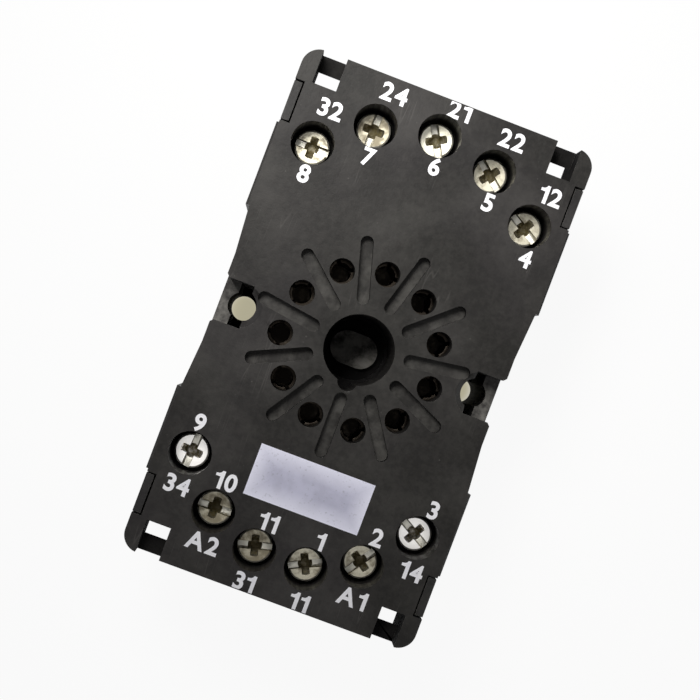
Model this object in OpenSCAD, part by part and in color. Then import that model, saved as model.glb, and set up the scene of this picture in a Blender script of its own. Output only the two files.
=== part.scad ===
// Screw-terminal socket for an eleven-pin plug-in relay, for a 35 mm rail or a panel.
// X runs across the socket, Y along it towards the row of five screws, Z out of its front face.
// The origin is the middle of the back plane. All sizes are in millimetres.

/* [Housing] */
// Length from end wall to end wall
body_l = 63; // [62:0.5:78]
// Width over the four ears
body_w = 36.6; // [36:0.2:45]
// Height from the back plane to the front face
face_z = 26; // [25:0.5:32]
// Length of each ear, from the end wall to the side panel
ear_l = 9.7; // [9.4:0.1:11]
// Radius of the ears' outer corners
ear_r = 2.2; // [0.5:0.1:3]
// Height of the ears, which stand out over cut-back corners
ear_h = 9; // [6:0.5:12]
// Length of each side panel
panel_l = 10.4; // [8:0.1:13]
// How far a side panel stands out past the ears
panel_out = 0.3; // [0.1:0.05:0.6]
// How far the waist lies inside the ears
waist_in = 0.65; // [0.4:0.05:1]
// Half the length of the waist's straight part
waist_flat = 5.5; // [4:0.1:7]
// Thickness of the deck that closes the cover from below
deck_t = 3; // [2.4:0.1:4]
// Height of the seam groove between cover and base
seam_h = 0.3; // [0.2:0.05:0.5]

/* [Plug face] */
// Pitch circle of the relay's pins
pin_pcd = 19.05; // [18.6:0.05:19.6]
// Radius of a pin hole
pin_hole_r = 1.525; // [1.3:0.025:1.6]
// Depth of a pin hole, down to its sleeve's chamber
pin_hole_depth = 4; // [3:0.1:5]
// Radius of the key hole
key_r = 4.25; // [4:0.05:4.6]
// Radius of the keyway's round notch
keyway_r = 1.2; // [0.8:0.05:1.4]
// Distance from the key hole's axis to the end of its keyway
keyway_reach = 5.1; // [4.8:0.05:5.2]
// Thickness of the floor under the key hole
key_floor_t = 3; // [2:0.1:5]
// Width of a vent slot between two pin holes
slot_w = 1.55; // [1:0.05:1.6]
// Distance from the axis to a vent slot's inner end
slot_in = 5.4; // [5.3:0.1:6.5]
// Distance from the axis to a vent slot's outer end
slot_out = 13.5; // [12:0.1:14]
// Depth of a vent slot
slot_depth = 1.4; // [0.8:0.1:2]

/* [Terminals] */
// Radius of a screw well
well_r = 2.6; // [2.3:0.05:2.7]
// Distance from the end wall to the middle screw of the row of five
row5_inset = 4.5; // [4.4:0.1:6]
// Distance from the end wall to the top of the arc of the row of six
row6_inset = 4.75; // [4.7:0.1:6]
// Distance from an ear's side to the outermost screw of the row of five
row5_side = 4.58; // [4:0.02:5]
// Distance from an ear's side to the outermost screw of the row of six
row6_side = 3.95; // [3.8:0.05:4.6]
// Angle of the outermost screw on the arc of the row of five
row5_angle = 48.4; // [45:0.1:52]
// Angle of the outermost screw on the arc of the row of six
row6_angle = 60.6; // [57:0.1:63]
// Width of a wire entry
entry_w = 3.8; // [3:0.1:3.9]
// Height of a wire entry above the deck
entry_h = 4.3; // [3.6:0.1:4.6]

/* [Screws and clamps] */
// Radius of a screw's thread
thread_r = 1.5; // [1.25:0.05:1.6]
// Radius of a screw's head
head_r = 2.1; // [1.9:0.05:2.2]
// Height of a screw's head
head_h = 2; // [1.6:0.1:2.4]
// Width of a clamp
clamp_w = 4.2; // [3.8:0.1:4.4]
// Length of a clamp along the wire
clamp_l = 4.4; // [3.6:0.1:4.6]
// Thickness of a clamp's side walls
clamp_wall = 0.6; // [0.4:0.05:0.7]
// Thickness of a clamp's threaded top
clamp_top = 2; // [1.5:0.1:2.5]
// How far a clamp rises from open to shut
clamp_travel = 2.5; // [1.5:0.1:3]
// Width of a contact's strip
strip_w = 2.6; // [2:0.1:2.7]
// Thickness of a contact's strip
strip_t = 1; // [0.6:0.1:1.2]
// Outer radius of a contact's sleeve
sleeve_r = 1.65; // [1.55:0.05:1.7]
// Bore radius of a contact's sleeve
sleeve_bore_r = 1.2; // [1.1:0.05:1.3]

/* [Fixing] */
// Width of the rail that the socket clips on
rail_w = 35; // [32:0.5:36]
// Height of the rail's seat above the back plane
seat_z = 5; // [4.6:0.1:6]
// How far the hooks reach under the rail's edges
hook_grip = 1.25; // [0.8:0.05:1.6]
// How far the rail clip slides out
clip_travel = 2.5; // [1.5:0.1:3]
// Width of the rail clip
clip_w = 12; // [10:0.5:13]
// Distance from the waist's side to a panel screw's axis
mount_inset = 2.65; // [2.4:0.05:3]
// Radius of a panel screw's hole
mount_r = 1.6; // [1.3:0.05:1.7]
// Width of a snap tab
tab_w = 4.8; // [4:0.1:5.2]
// Thickness of a snap tab
tab_t = 1; // [0.8:0.05:1.1]

/* [Hidden] */
$fn = 72;

// Clearances and small common sizes
past = 1;           // how far a cut runs past the surface that it opens
lap = 0.5;          // how far an added form runs into the wall that carries it
slide_gap = 0.2;    // between a sliding or snapping piece and its guide
thread_gap = 0.05;  // between a screw and the threaded hole round it
rest_gap = 0.15;    // under an open clamp
grip_gap = 0.35;    // above and below a strip, inside its clamp
chamber_gap = 0.25; // round a clamp, in its chamber
head_gap = 0.1;     // under a screw's head

// Outline
end_y = body_l / 2;
ear_x = body_w / 2;
panel_x = ear_x + panel_out;
waist_x = ear_x - waist_in;
panel_top = end_y - ear_l;
panel_low = panel_top - panel_l;
waist_step = 0.2;
panel_drop = 0.45;
panel_bevel = 0.35;

// Levels, from the back plane up
deck_z = seat_z + deck_t;
clamp_z = deck_z + rest_gap;
clamp_floor = 1;
strip_z = clamp_z + clamp_floor + clamp_travel + grip_gap;
strip_top = strip_z + strip_t;
window_h = clamp_travel + strip_t + 2 * grip_gap;
clamp_h = clamp_floor + window_h + clamp_top;
chamber_z = clamp_z + clamp_h + clamp_travel + chamber_gap;
web_t = 1.3;
well_z = chamber_z + web_t;
head_z = well_z + head_gap;
tip_z = strip_top + thread_gap;
sleeve_chamber_z = face_z - pin_hole_depth;
sleeve_chamber_r = sleeve_r + 0.3;
sleeve_z = sleeve_chamber_z - slide_gap;

// Key hole
key_step_h = 1.2;
key_step_r = key_r - 0.35;
key_pad = [0.9, 2.15, 1]; // half length of its straight part, end radius, height
key_floor_z = deck_z + key_floor_t;

// Corner grooves and the bars across them
groove_x = ear_x - 5;
groove_w = 3;
groove_d = 4.05;
bar_w = 2.1;
bar_depth = 3.7;
bar_t = 1.6;
bar_slope = 0.7;
corner_w = ear_x - groove_x + past; // width of a cut-back corner under an ear

// Snap tabs, their notches in the cover and the noses that catch them
tab_y = end_y - 6.85;
tab_top = face_z - 0.3;
notch_x = ear_x - tab_t - slide_gap;
notch_w = tab_w + 2 * slide_gap;
nose_w = 2.1;
nose_z = [face_z - 6.7, face_z - 4.4, face_z - 4];

// Panel screw pockets
mount_x = waist_x - mount_inset;
pocket_r = 2.65;
pocket_depth = 5;
pocket_neck = [mount_x - 0.9, mount_x + 0.8];
pocket_bevel = [0.7, 0.9]; // narrowing of the rim, and its depth
pocket_mouth = 0.35;

// Rail hooks and clip
hook_z = 1.6;
hook_t = 2;
hook_top = hook_z + hook_t;
hook_bevel = [0.6, 0.8];
hook_x = [4, 13];
channel_y = rail_w / 2 + 0.3;
hook_y = rail_w / 2 - hook_grip;
clip_end = end_y - 0.3;
guide_x = clip_w / 2 + slide_gap;
guide_open_x = guide_x - 2;
post = [2.6, 1.5, hook_z + slide_gap]; // width, thickness and lowest point
post_y = end_y - 4.3;
driver_slot = [5.2, 0.9];
driver_notch = [7, 2.6, 1.8];
back_pocket = [4.4, 10, 1.7]; // width, length and distance from the end wall

// Spring of the rail clip, and the window that holds it
coil_r = 1.05;
coil_wire_r = 0.25;
coil_turns = 7;
coil_steps = 12;
coil_sides = 6;
coil_play = 1.3; // length left between the wires when the clip is fully out
coil_room = 2 * coil_turns * coil_wire_r + clip_travel + coil_play;
clip_window = [3.2, post_y - coil_room, post_y + post[1] + slide_gap]; // width, first and last y
coil_z = hook_z + hook_t / 2;
coil_y = [clip_window[1] + coil_wire_r + 0.05, post_y - coil_wire_r - 0.05];

// Terminals: place of each screw on its row's arc, as a share of the outermost one's angle
term_share = [0.187, 0.572, 1, 1, 0.5, 0, -0.5, -1, -1, -0.572, -0.187];
// Turn of each screw's slot as it was left
screw_turn = [25, 55, 150, 150, 140, 118, 90, 0, 85, 0, 15];
row5_r = (ear_x - row5_side) / sin(row5_angle);
row6_r = (ear_x - row6_side) / sin(row6_angle);
strip_out = 2;
strip_bend = 3.2;

function in_row5(k) = k > 3 && k < 9;
function side(k) = in_row5(k) ? 1 : -1;
function arc_angle(k) = term_share[k - 1] * (in_row5(k) ? row5_angle : row6_angle);
function arc_r(k) = in_row5(k) ? row5_r : row6_r;
function arc_inset(k) = in_row5(k) ? row5_inset : row6_inset;
function term(k) = [
  arc_r(k) * sin(arc_angle(k)),
  side(k) * (end_y - arc_inset(k) - arc_r(k) * (1 - cos(arc_angle(k))))
];
function pin_angle(k) = 180 - (k - 0.5) * 360 / 11;
function pin(k) = pin_pcd / 2 * [sin(pin_angle(k)), cos(pin_angle(k))];
// Distance from the middle to the wall in which a terminal's wire entry opens
function entry_end(k) = abs(term(k).x) > groove_x ? end_y - groove_d : end_y;
function strip_path(k) = [
  term(k) + [0, side(k) * strip_out],
  term(k) - [0, side(k) * strip_bend],
  pin(k)
];

// Unit vector across a run, to its left
function across(run) = [-run.y, run.x] / norm(run);
function flip(pts, sx, sy) = [for (p = pts) [sx * p.x, sy * p.y]];
function reversed(pts) = [for (i = [len(pts) - 1:-1:0]) pts[i]];
function all_quarters(pts) = concat(
  pts, reversed(flip(pts, 1, -1)), flip(pts, -1, -1), reversed(flip(pts, -1, 1))
);

// Repeats its children in all four quarters of the socket
module each_quarter() {
  for (sx = [0, 1], sy = [0, 1])
    mirror([sx, 0, 0]) mirror([0, sy, 0]) children();
}

module each_side() {
  for (sx = [0, 1]) mirror([sx, 0, 0]) children();
}

// Turns a profile drawn in Y and Z into a bar along X, centred
module along_x(length) {
  rotate([90, 0, 90]) linear_extrude(length, center = true) children();
}

// Turns a profile drawn in X and Z into a bar along Y, centred
module along_y(length) {
  rotate([90, 0, 0]) linear_extrude(length, center = true) children();
}

module rounded_rect(w, h, r) {
  translate([-w / 2 + r, 0]) square([w - 2 * r, h]);
  translate([-w / 2, r]) square([w, h - 2 * r]);
  for (x = [r - w / 2, w / 2 - r], y = [r, h - r])
    translate([x, y]) circle(r);
}

// Opening with a round top, standing on the line y = 0
module arch(w, h) {
  translate([-w / 2, 0]) square([w, h - w / 2]);
  translate([0, h - w / 2]) circle(w / 2);
}

// Line of even width through the given points, with mitred corners
module stroke(pts, w) {
  last = len(pts) - 1;
  edge = [
    for (i = [0:last]) let (
      before = across(pts[max(i, 1)] - pts[max(i, 1) - 1]),
      after = across(pts[min(i, last - 1) + 1] - pts[min(i, last - 1)])
    ) w / 2 * (before + after) / (1 + before * after)
  ];
  polygon(concat(pts + edge, reversed(pts - edge)));
}

// Plan of the housing, drawn in by inset, with a notch of the given width in each corner
module plan(inset = 0, notch = groove_w) {
  quarter = [
    [ear_x - inset, end_y - inset],
    [ear_x - inset, panel_low],
    [ear_x - waist_step - inset, panel_low],
    [waist_x - inset, waist_flat]
  ];
  difference() {
    polygon(all_quarters(quarter));
    each_quarter() {
      translate([ear_x - inset - ear_r, end_y - inset - ear_r]) difference() {
        square(ear_r + past);
        circle(ear_r);
      }
      translate([groove_x - inset, end_y - groove_d - inset])
        square([notch + 2 * inset, groove_d + past]);
    }
  }
}

// Side panels between two heights, with a bevelled top edge
module side_panels(z0, z1, bevel) {
  each_quarter()
    translate([0, (panel_low + panel_top) / 2, 0])
      along_y(panel_l)
        polygon([
          [ear_x - past, z0], [panel_x, z0], [panel_x, z1 - bevel],
          [ear_x, z1], [ear_x - past, z1]
        ]);
}

// Screw wells, wire entries, clamp chambers and contact channels inside the cover
module terminal_cavities() {
  for (k = [1:11]) {
    translate([term(k).x, term(k).y, well_z]) cylinder(face_z, r = well_r);
    translate([term(k).x, term(k).y, deck_z]) {
      cylinder(well_z - deck_z + past, r = thread_r + slide_gap);
      translate([0, 0, (chamber_z - deck_z - past) / 2])
        cube([
          clamp_w + 2 * chamber_gap, clamp_l + 2 * chamber_gap,
          chamber_z - deck_z + past
        ], center = true);
      wire_entry(k, entry_w, entry_h, end_y - abs(term(k).y) + past);
    }
    translate([term(k).x, side(k) * (entry_end(k) - 0.6), deck_z])
      wire_entry(k, entry_w + 0.8, entry_h + 0.4, end_y - entry_end(k) + past);
    translate([0, 0, deck_z - past]) linear_extrude(strip_top - deck_z + past)
      stroke(strip_path(k), strip_w + slide_gap);
  }
}

// Cut along Y, from its origin towards the end wall of terminal k
module wire_entry(k, w, h, length) {
  translate([0, side(k) * length / 2, -past])
    along_y(length) arch(w, h + past);
}

module pin_cavities() {
  for (k = [1:11]) translate([pin(k).x, pin(k).y, 0]) {
    translate([0, 0, deck_z - past])
      cylinder(sleeve_chamber_z - deck_z + past, r = sleeve_chamber_r);
    translate([0, 0, deck_z]) cylinder(face_z, r = pin_hole_r);
  }
}

module key_hole() {
  difference() {
    translate([0, 0, key_floor_z]) {
      cylinder(face_z, r = key_step_r);
      translate([0, 0, key_step_h]) cylinder(face_z, r = key_r);
      translate([0, keyway_r - keyway_reach, key_step_h]) cylinder(face_z, r = keyway_r);
    }
    translate([0, 0, key_floor_z - past]) linear_extrude(key_pad[2] + past) {
      square([2 * key_pad[0], 2 * key_pad[1]], center = true);
      for (x = [-1, 1]) translate([x * key_pad[0], 0]) circle(key_pad[1]);
    }
  }
}

module vent_slots() {
  run = slot_out - slot_in - slot_w;
  for (k = [1:11])
    rotate(-(pin_angle(k) + 180 / 11)) translate([0, 0, face_z - slot_depth])
      linear_extrude(slot_depth + past) translate([0, slot_in + slot_w / 2]) {
        translate([-slot_w / 2, 0]) square([slot_w, run]);
        for (y = [0, run]) translate([0, y]) circle(slot_w / 2);
      }
}

// Pocket at the waist through which a panel screw is driven
module mount_pocket() {
  rim_z = face_z - pocket_bevel[1];
  neck_r = pocket_r - pocket_bevel[0];
  mouth_x = waist_x - pocket_mouth;
  translate([mount_x, 0, 0]) {
    translate([0, 0, rim_z]) cylinder(pocket_bevel[1], neck_r, pocket_r);
    translate([0, 0, face_z]) cylinder(past, r = pocket_r);
    cylinder(face_z, r = mount_r);
    intersection() {
      cylinder(face_z, r = neck_r);
      translate([-2 * neck_r, -neck_r, 0]) cube([2 * neck_r, 2 * neck_r, face_z]);
    }
  }
  translate([pocket_neck[0], -pocket_r, 0])
    cube([pocket_neck[1] - pocket_neck[0], 2 * pocket_r, face_z + past]);
  translate([0, 0, face_z - pocket_depth]) linear_extrude(pocket_depth + past)
    polygon([
      [pocket_neck[0], -pocket_r], [mouth_x, -pocket_r],
      [waist_x + past, -pocket_r - pocket_mouth - past],
      [waist_x + past, pocket_r + pocket_mouth + past],
      [mouth_x, pocket_r], [pocket_neck[0], pocket_r]
    ]);
}

// Bar across a corner groove, which a relay's retaining clip hooks round
module groove_bar() {
  translate([groove_x + groove_w / 2, end_y, face_z - bar_depth])
    along_x(groove_w + 2 * lap)
      polygon([[-bar_w, 0], [0, 0], [0, -bar_t], [bar_slope - bar_w, -bar_t]]);
}

module snap_nose() {
  translate([0, tab_y, 0]) along_y(nose_w)
    polygon([
      [notch_x - lap, nose_z[0]], [notch_x, nose_z[0]],
      [ear_x - 0.15, nose_z[1]], [ear_x - 0.15, nose_z[2]], [notch_x - lap, nose_z[2]]
    ]);
}

module cover() {
  color("#3c3b3a") {
    difference() {
      union() {
        translate([0, 0, deck_z]) linear_extrude(face_z - deck_z) plan();
        side_panels(deck_z, face_z - panel_drop, panel_bevel);
      }
      terminal_cavities();
      pin_cavities();
      key_hole();
      vent_slots();
      each_side() mount_pocket();
      each_quarter() {
        translate([notch_x, tab_y - notch_w / 2, deck_z - past])
          cube([tab_t + past, notch_w, face_z]);
        translate([0, 0, deck_z - past]) linear_extrude(face_z - ear_h - deck_z + past) {
          translate([groove_x + lap, end_y - groove_d]) square([corner_w, groove_d + past]);
          translate([notch_x, tab_y]) square([tab_t + past, end_y - tab_y + past]);
        }
      }
    }
    each_quarter() {
      groove_bar();
      snap_nose();
    }
  }
}

// Tab of the base that rises through the cover's notch and catches on its nose
module snap_tab() {
  difference() {
    translate([ear_x - tab_t, tab_y - tab_w / 2, deck_z - lap])
      cube([tab_t, tab_w, tab_top - deck_z + lap]);
    translate([ear_x - tab_t - past, tab_y - nose_w / 2 - slide_gap, nose_z[0] - slide_gap])
      cube([tab_t + 2 * past, nose_w + 2 * slide_gap, nose_z[2] - nose_z[0] + 2 * slide_gap]);
  }
}

// Guide of the rail clip, open towards the rail, the end wall and the back
module clip_guide() {
  run = end_y - channel_y + past;
  translate([-guide_x, channel_y, hook_z - slide_gap])
    cube([2 * guide_x, run, hook_t + 2 * slide_gap]);
  translate([-guide_open_x, channel_y, -past])
    cube([2 * guide_open_x, run, hook_z + past]);
  translate([-clip_window[0] / 2, clip_window[1] - past, hook_z])
    cube([clip_window[0], post_y - clip_window[1] + past, hook_t + 0.6]);
  translate([-driver_notch[0] / 2, end_y - driver_notch[1], hook_top])
    cube([driver_notch[0], driver_notch[1] + past, driver_notch[2]]);
}

module rail_hook() {
  length = hook_x[1] - hook_x[0];
  translate([hook_x[0] + length / 2, 0, 0]) along_x(length)
    polygon([
      [-channel_y - lap, hook_z], [-hook_y - hook_bevel[0], hook_z],
      [-hook_y, hook_z + hook_bevel[1]], [-hook_y, hook_top], [-channel_y - lap, hook_top]
    ]);
}

module base() {
  color("#343433") {
    difference() {
      union() {
        linear_extrude(deck_z - seam_h) plan(0, corner_w);
        linear_extrude(deck_z) plan(seam_h, corner_w);
        side_panels(0, deck_z - seam_h, 0);
      }
      translate([-body_w, -channel_y, -past])
        cube([2 * body_w, 2 * channel_y, seat_z + past]);
      clip_guide();
      each_side() translate([mount_x, 0, 0]) cylinder(face_z, r = mount_r);
      each_side() {
        translate([guide_x + 2, end_y - back_pocket[2] - back_pocket[1], -past])
          cube([back_pocket[0], back_pocket[1], seat_z + past]);
        for (i = [0, 1])
          translate([0.7 + i * 6.2, back_pocket[2] - end_y, -past])
            cube([back_pocket[0] + 0.4, back_pocket[1], seat_z + past]);
      }
    }
    each_quarter() snap_tab();
    each_side() rail_hook();
    translate([-post[0] / 2, post_y, post[2]])
      cube([post[0], post[1], seat_z + lap - post[2]]);
  }
}

module rail_clip() {
  color("#2f3031") difference() {
    along_x(clip_w)
      polygon([
        [hook_y, hook_top], [hook_y, hook_z + hook_bevel[1]],
        [hook_y + hook_bevel[0], hook_z], [clip_end, hook_z], [clip_end, hook_top]
      ]);
    translate([-clip_window[0] / 2, clip_window[1], 0])
      cube([clip_window[0], clip_window[2] - clip_window[1], seat_z]);
    translate([-driver_slot[0] / 2, (clip_window[2] + clip_end - driver_slot[1]) / 2, 0])
      cube([driver_slot[0], driver_slot[1], seat_z]);
  }
}

// Compression spring between the rail clip's window and the base's post
module clip_spring() {
  last = coil_turns * coil_steps;
  function ring(i) = [
    for (j = [0:coil_sides - 1]) let (
      a = 360 * i / coil_steps, b = 360 * j / coil_sides, r = coil_r + coil_wire_r * cos(b)
    ) [
      r * cos(a),
      coil_y[0] + (coil_y[1] - coil_y[0]) * i / last + coil_wire_r * sin(b),
      coil_z + r * sin(a)
    ]
  ];
  sides = [
    for (i = [0:last - 1], j = [0:coil_sides - 1]) let (
      n = (j + 1) % coil_sides, p = i * coil_sides, q = p + coil_sides
    ) [p + j, q + j, q + n, p + n]
  ];
  first_cap = [for (j = [0:coil_sides - 1]) j];
  last_cap = [for (j = [coil_sides - 1:-1:0]) last * coil_sides + j];
  color("silver") polyhedron(
    [for (i = [0:last]) each ring(i)],
    concat(sides, [first_cap, last_cap]), convexity = 10
  );
}

// Terminal screw with a slotted cross recess
module screw(k) {
  slot = [0.95, 0.8];
  cross = [2.7, 0.95, 1.5];
  edge = 0.2;
  color("#c9c3ae") translate([term(k).x, term(k).y, 0]) rotate(screw_turn[k - 1])
    difference() {
      union() {
        translate([0, 0, tip_z]) cylinder(edge, thread_r - edge, thread_r);
        translate([0, 0, tip_z + edge]) cylinder(head_z - tip_z, r = thread_r);
        translate([0, 0, head_z]) cylinder(head_h - edge, r = head_r);
        translate([0, 0, head_z + head_h - edge]) cylinder(edge, head_r, head_r - edge);
      }
      translate([-2 * head_r, -slot[0] / 2, head_z + head_h - slot[1]])
        cube([4 * head_r, slot[0], slot[1] + past]);
      translate([0, 0, head_z + head_h - cross[2]]) intersection() {
        cylinder(cross[2], cross[1] / 2, cross[0] / 2);
        for (a = [0, 90]) rotate(a)
          translate([-cross[0] / 2, -cross[1] / 2, 0]) cube(cross + [0, 0, past]);
      }
    }
}

// Rising clamp: a bent steel cage with a threaded top
module clamp(k) {
  opening = clamp_w - 2 * clamp_wall;
  color("#a9adb0") translate([term(k).x, term(k).y, clamp_z]) difference() {
    along_y(clamp_l) difference() {
      rounded_rect(clamp_w, clamp_h, clamp_wall);
      translate([0, clamp_floor]) rounded_rect(opening, window_h, 0.3);
    }
    translate([0, 0, clamp_floor + window_h - past])
      cylinder(clamp_top + 2 * past, r = thread_r + thread_gap);
  }
}

// Contact: strip from the clamp to its pin, with the split sleeve that grips the pin
module contact(k) {
  split = 0.5;
  leaf_h = 6;
  rivet_h = 0.3;
  floor_t = 0.2;
  foot_z = strip_z - rivet_h;
  color("#c8a14b") {
    translate([0, 0, strip_z]) linear_extrude(strip_t) stroke(strip_path(k), strip_w);
    translate([pin(k).x, pin(k).y, 0]) rotate(-pin_angle(k)) difference() {
      translate([0, 0, foot_z]) cylinder(sleeve_z - foot_z, r = sleeve_r);
      translate([0, 0, strip_top + floor_t]) {
        cylinder(face_z, r = sleeve_bore_r);
        translate([-split / 2, 0, 0]) cube([split, 2 * sleeve_r, face_z]);
      }
      translate([-2 * sleeve_r, -split / 2, sleeve_z - leaf_h])
        cube([4 * sleeve_r, split, leaf_h + past]);
    }
  }
}

cover();
base();
rail_clip();
clip_spring();
for (k = [1:11]) {
  screw(k);
  clamp(k);
  contact(k);
}
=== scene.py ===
"""Looks of an eleven-pin relay socket: its mouldings, terminals, rail clip, print and studio."""

import logging
import math
from collections.abc import Callable, Sequence
from dataclasses import dataclass, field
from enum import Enum

import bmesh
import bpy
from mathutils import Matrix, Vector
from mathutils.bvhtree import BVHTree


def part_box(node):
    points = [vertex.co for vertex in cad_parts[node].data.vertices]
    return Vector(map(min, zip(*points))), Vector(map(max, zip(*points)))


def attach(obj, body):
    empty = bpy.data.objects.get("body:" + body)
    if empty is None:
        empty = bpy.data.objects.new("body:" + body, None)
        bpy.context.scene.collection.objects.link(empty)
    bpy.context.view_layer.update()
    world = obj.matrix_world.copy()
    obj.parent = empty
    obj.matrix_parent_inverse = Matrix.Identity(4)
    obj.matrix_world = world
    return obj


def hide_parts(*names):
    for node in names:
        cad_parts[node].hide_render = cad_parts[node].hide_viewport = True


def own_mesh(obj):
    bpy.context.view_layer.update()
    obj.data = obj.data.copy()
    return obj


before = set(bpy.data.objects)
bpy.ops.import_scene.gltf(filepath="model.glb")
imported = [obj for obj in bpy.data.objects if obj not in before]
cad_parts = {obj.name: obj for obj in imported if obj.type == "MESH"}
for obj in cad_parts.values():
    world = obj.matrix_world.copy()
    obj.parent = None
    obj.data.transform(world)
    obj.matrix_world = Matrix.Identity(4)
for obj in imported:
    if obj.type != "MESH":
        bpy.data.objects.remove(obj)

log = logging.getLogger("relay_socket")

MM = 0.001
TERMINALS = range(1, 12)
Colour = tuple[float, float, float, float]
Socket = bpy.types.NodeSocket
Tree = bpy.types.NodeTree
Face = bmesh.types.BMFace
FaceTest = Callable[[Face], bool]


class Slot(Enum):
    """Material slots of the record."""

    COVER = "black_moulding"
    BASE = "base_moulding"
    CLIP = "clip_moulding"
    SCREW = "nickel"
    CLAMP = "zinc_steel"
    SPRING = "spring_steel"
    CONTACT = "contact_brass"


class State(Enum):
    """How bright a screw's plating is painted, as lit and shaded copies of one nickel; the value is the
    share of its surface that is tarnished and sets its roughness.
    """

    POLISHED = 0.1
    BRIGHT = 0.25
    HANDLED = 0.55
    DULLED = 0.75


# --- node trees


class Graph:
    """A node tree, with short calls that add nodes and join their sockets."""

    def __init__(self, tree: Tree) -> None:
        """Empties the tree and keeps it.

        Args:
            tree: Node tree of a material, a world or a group.
        """
        self.tree = tree
        tree.nodes.clear()

    def add(self, kind: str, inputs: dict | None = None, **settings: object) -> bpy.types.Node:
        """Adds one node.

        Args:
            kind: Node type, without its ShaderNode prefix.
            inputs: Input names or numbers, each with a value or with the socket that feeds it.
            **settings: Properties of the node.

        Returns:
            The new node.
        """
        prefix = "" if kind.startswith("NodeGroup") else "ShaderNode"
        node = self.tree.nodes.new(prefix + kind)
        for name, value in settings.items():
            setattr(node, name, value)
        for key, value in (inputs or {}).items():
            self.feed(node.inputs[key], value)
        return node

    def feed(self, socket: Socket, value: object) -> None:
        """Joins a socket to the one that feeds it, or sets its value."""
        if isinstance(value, Socket):
            self.tree.links.new(value, socket)
        else:
            socket.default_value = value

    def place(self) -> Socket:
        """Gives the place on the piece."""
        return self.add("TexCoord").outputs["Object"]

    def read(self, name: str) -> Socket:
        """Reads a mark of the mesh."""
        return self.add("Attribute", attribute_name=name).outputs["Fac"]

    def maths(self, operation: str, *values: object) -> Socket:
        """Adds a Math node with its values in order, and gives its output."""
        return self.add("Math", dict(enumerate(values)), operation=operation).outputs[0]

    def times(self, first: object, second: object) -> Socket:
        """Multiplies two numbers or sockets."""
        return self.maths("MULTIPLY", first, second)

    def plus(self, first: object, second: object) -> Socket:
        """Adds two numbers or sockets."""
        return self.maths("ADD", first, second)

    def minus(self, first: object, second: object) -> Socket:
        """Takes one number or socket from another."""
        return self.maths("SUBTRACT", first, second)

    def ramp(self, value: object, low: float, high: float) -> Socket:
        """Turns a value into a soft mask that rises from 0 at low to 1 at high."""
        inputs = {"Value": value, "From Min": low, "From Max": high}
        return self.add("MapRange", inputs, interpolation_type="SMOOTHSTEP").outputs["Result"]

    def mix(self, factor: object, first: object, second: object) -> Socket:
        """Mixes two colours.

        Args:
            factor: Share of the second colour.
            first: Colour or socket.
            second: Colour or socket.

        Returns:
            The mixed colour.
        """
        node = self.add("Mix", {"Factor": factor}, data_type="RGBA")
        self.feed(node.inputs[6], first)
        self.feed(node.inputs[7], second)
        return node.outputs[2]

    def noise(self, where: object, scale: object, detail: float = 3.0, rough: float = 0.5) -> Socket:
        """Adds noise of about 0.3 to 0.7, with its waves a metre, octaves and their roughness."""
        inputs = {"Vector": where, "Scale": scale, "Detail": detail, "Roughness": rough}
        return self.add("TexNoise", inputs).outputs["Fac"]


class Effect:
    """A shader node group that several finishes share."""

    def __init__(self, name: str, inputs: dict[str, float], *outputs: str) -> None:
        """Makes the group and its sockets.

        Args:
            name: Name of the group.
            inputs: Input names, each with its starting value.
            *outputs: Output names.
        """
        self.tree = bpy.data.node_groups.new(name, "ShaderNodeTree")
        self.graph = Graph(self.tree)
        face, kind = self.tree.interface, "NodeSocketFloat"
        for label, value in inputs.items():
            face.new_socket(label, in_out="INPUT", socket_type=kind).default_value = value
        for label in outputs:
            face.new_socket(label, in_out="OUTPUT", socket_type=kind)
        self.entry = self.graph.add("NodeGroupInput")
        self.place = self.graph.place()

    def give(self, **results: Socket) -> Tree:
        """Joins the group's results to its outputs.

        Args:
            **results: One socket for each output, in order.

        Returns:
            The finished group.
        """
        out = self.graph.add("NodeGroupOutput")
        for label, socket in results.items():
            self.tree.links.new(socket, out.inputs[label])
        return self.tree


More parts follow.
